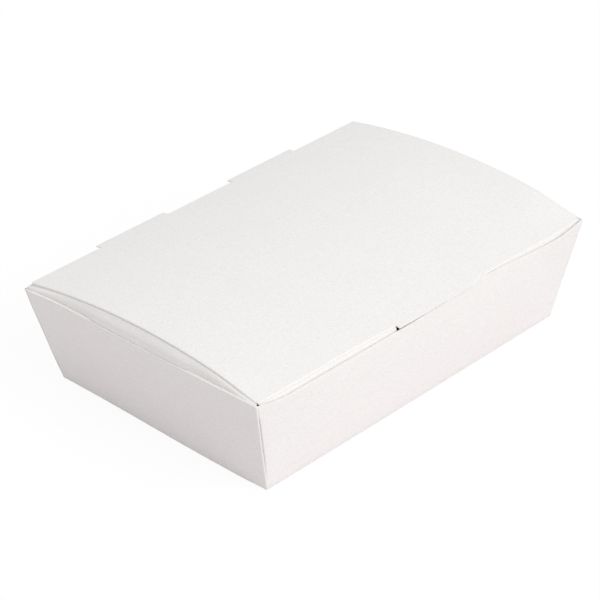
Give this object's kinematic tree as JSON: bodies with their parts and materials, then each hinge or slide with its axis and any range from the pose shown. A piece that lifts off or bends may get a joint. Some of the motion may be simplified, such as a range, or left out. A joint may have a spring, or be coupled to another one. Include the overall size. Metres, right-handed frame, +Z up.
{
  "type": "takeout food box",
  "caption": "Shallow folded white board food box with leaning walls and an arched lid that hinges at the back and tucks in at the front.",
  "frame": {"origin": "middle of the underside of the tray's base", "axes": "+X along the long side, -Y towards the front where the lid tucks in, +Y towards the hinge crease, +Z up"},
  "size_m": [0.2106, 0.142, 0.0568],
  "materials": {
    "board": "white uncoated board, matt"
  },
  "bodies": {
    "tray": {"tray": "board"},
    "lid": {"lid": "board"}
  },
  "joints": [
    {"name": "lid_hinge", "type": "hinge", "parent": "tray", "child": "lid", "pos_m": [0, 0.06833, 0.05], "axis": [-1, 0, 0], "range_deg": [0, 180]}
  ]
}
